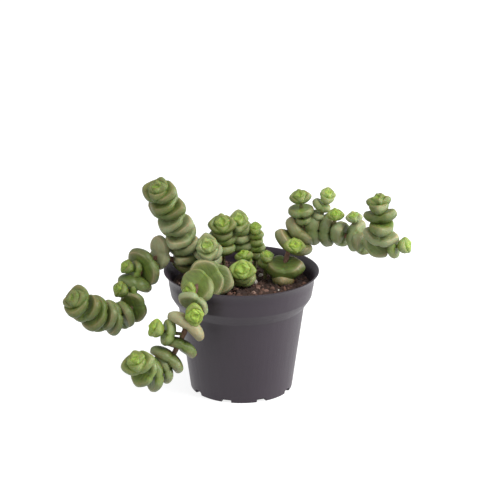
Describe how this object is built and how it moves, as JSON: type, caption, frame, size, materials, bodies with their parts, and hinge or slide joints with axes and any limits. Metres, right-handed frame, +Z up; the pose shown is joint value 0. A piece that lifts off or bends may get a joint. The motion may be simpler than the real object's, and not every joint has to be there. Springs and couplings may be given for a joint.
{
  "type": "potted crassula",
  "caption": "Trailing crassula with thick round leaf pairs stacked on thin stems, growing in soil in a round plastic nursery pot",
  "frame": {"origin": "centre of the pot's flat underside", "axes": "+Z up out of the pot, +X towards the arching shoot, -Y towards the front shoot"},
  "size_m": [0.1837, 0.1119, 0.1235],
  "materials": {
    "pot_plastic": "satin dark grey-violet moulded plastic",
    "soil": "rough peaty soil",
    "stem_bark": "matte brown bark",
    "old_leaf": "satin waxy grey-green leaf with pale margin",
    "tip_leaf": "satin waxy mid-green leaf",
    "young_leaf": "satin waxy lime-green leaf"
  },
  "bodies": {
    "root": {"centre_shoot_1": "young_leaf", "centre_shoot_2": "young_leaf", "centre_shoot_3": "young_leaf", "centre_shoot_4": "young_leaf", "centre_shoot_5": "young_leaf", "centre_shoot_6": "young_leaf", "centre_shoot_7": "young_leaf", "front_trailing_pair_1": "old_leaf", "front_trailing_pair_2": "old_leaf", "front_trailing_pair_3": "old_leaf", "front_trailing_pair_4": "old_leaf", "front_trailing_pair_5": "old_leaf", "front_trailing_pair_6": "old_leaf", "front_trailing_pair_7": "old_leaf", "front_trailing_pair_8": "old_leaf", "front_trailing_side_1": "young_leaf", "front_trailing_side_2": "young_leaf", "front_trailing_side_3": "young_leaf", "front_trailing_stem": "stem_bark", "front_trailing_tip": "tip_leaf", "left_trailing_pair_1": "old_leaf", "left_trailing_pair_2": "old_leaf", "left_trailing_pair_3": "old_leaf", "left_trailing_pair_4": "old_leaf", "left_trailing_pair_5": "old_leaf", "left_trailing_pair_6": "old_leaf", "left_trailing_pair_7": "old_leaf", "left_trailing_side_1": "young_leaf", "left_trailing_side_2": "young_leaf", "left_trailing_stem": "stem_bark", "left_trailing_tip": "tip_leaf", "left_upright_pair_1": "old_leaf", "left_upright_pair_2": "old_leaf", "left_upright_pair_3": "old_leaf", "left_upright_pair_4": "old_leaf", "left_upright_pair_5": "old_leaf", "left_upright_pair_6": "old_leaf", "left_upright_stem": "stem_bark", "left_upright_tip": "tip_leaf", "pot": "pot_plastic", "right_arching_pair_1": "old_leaf", "right_arching_pair_10": "old_leaf", "right_arching_pair_11": "old_leaf", "right_arching_pair_2": "old_leaf", "right_arching_pair_3": "old_leaf", "right_arching_pair_4": "old_leaf", "right_arching_pair_5": "old_leaf", "right_arching_pair_6": "old_leaf", "right_arching_pair_7": "old_leaf", "right_arching_pair_8": "old_leaf", "right_arching_pair_9": "old_leaf", "right_arching_side_1": "young_leaf", "right_arching_side_2": "young_leaf", "right_arching_side_3": "young_leaf", "right_arching_side_4": "young_leaf", "right_arching_side_5": "young_leaf", "right_arching_side_6": "young_leaf", "right_arching_stem": "stem_bark", "right_arching_tip": "tip_leaf", "soil": "soil"}
  },
  "joints": []
}
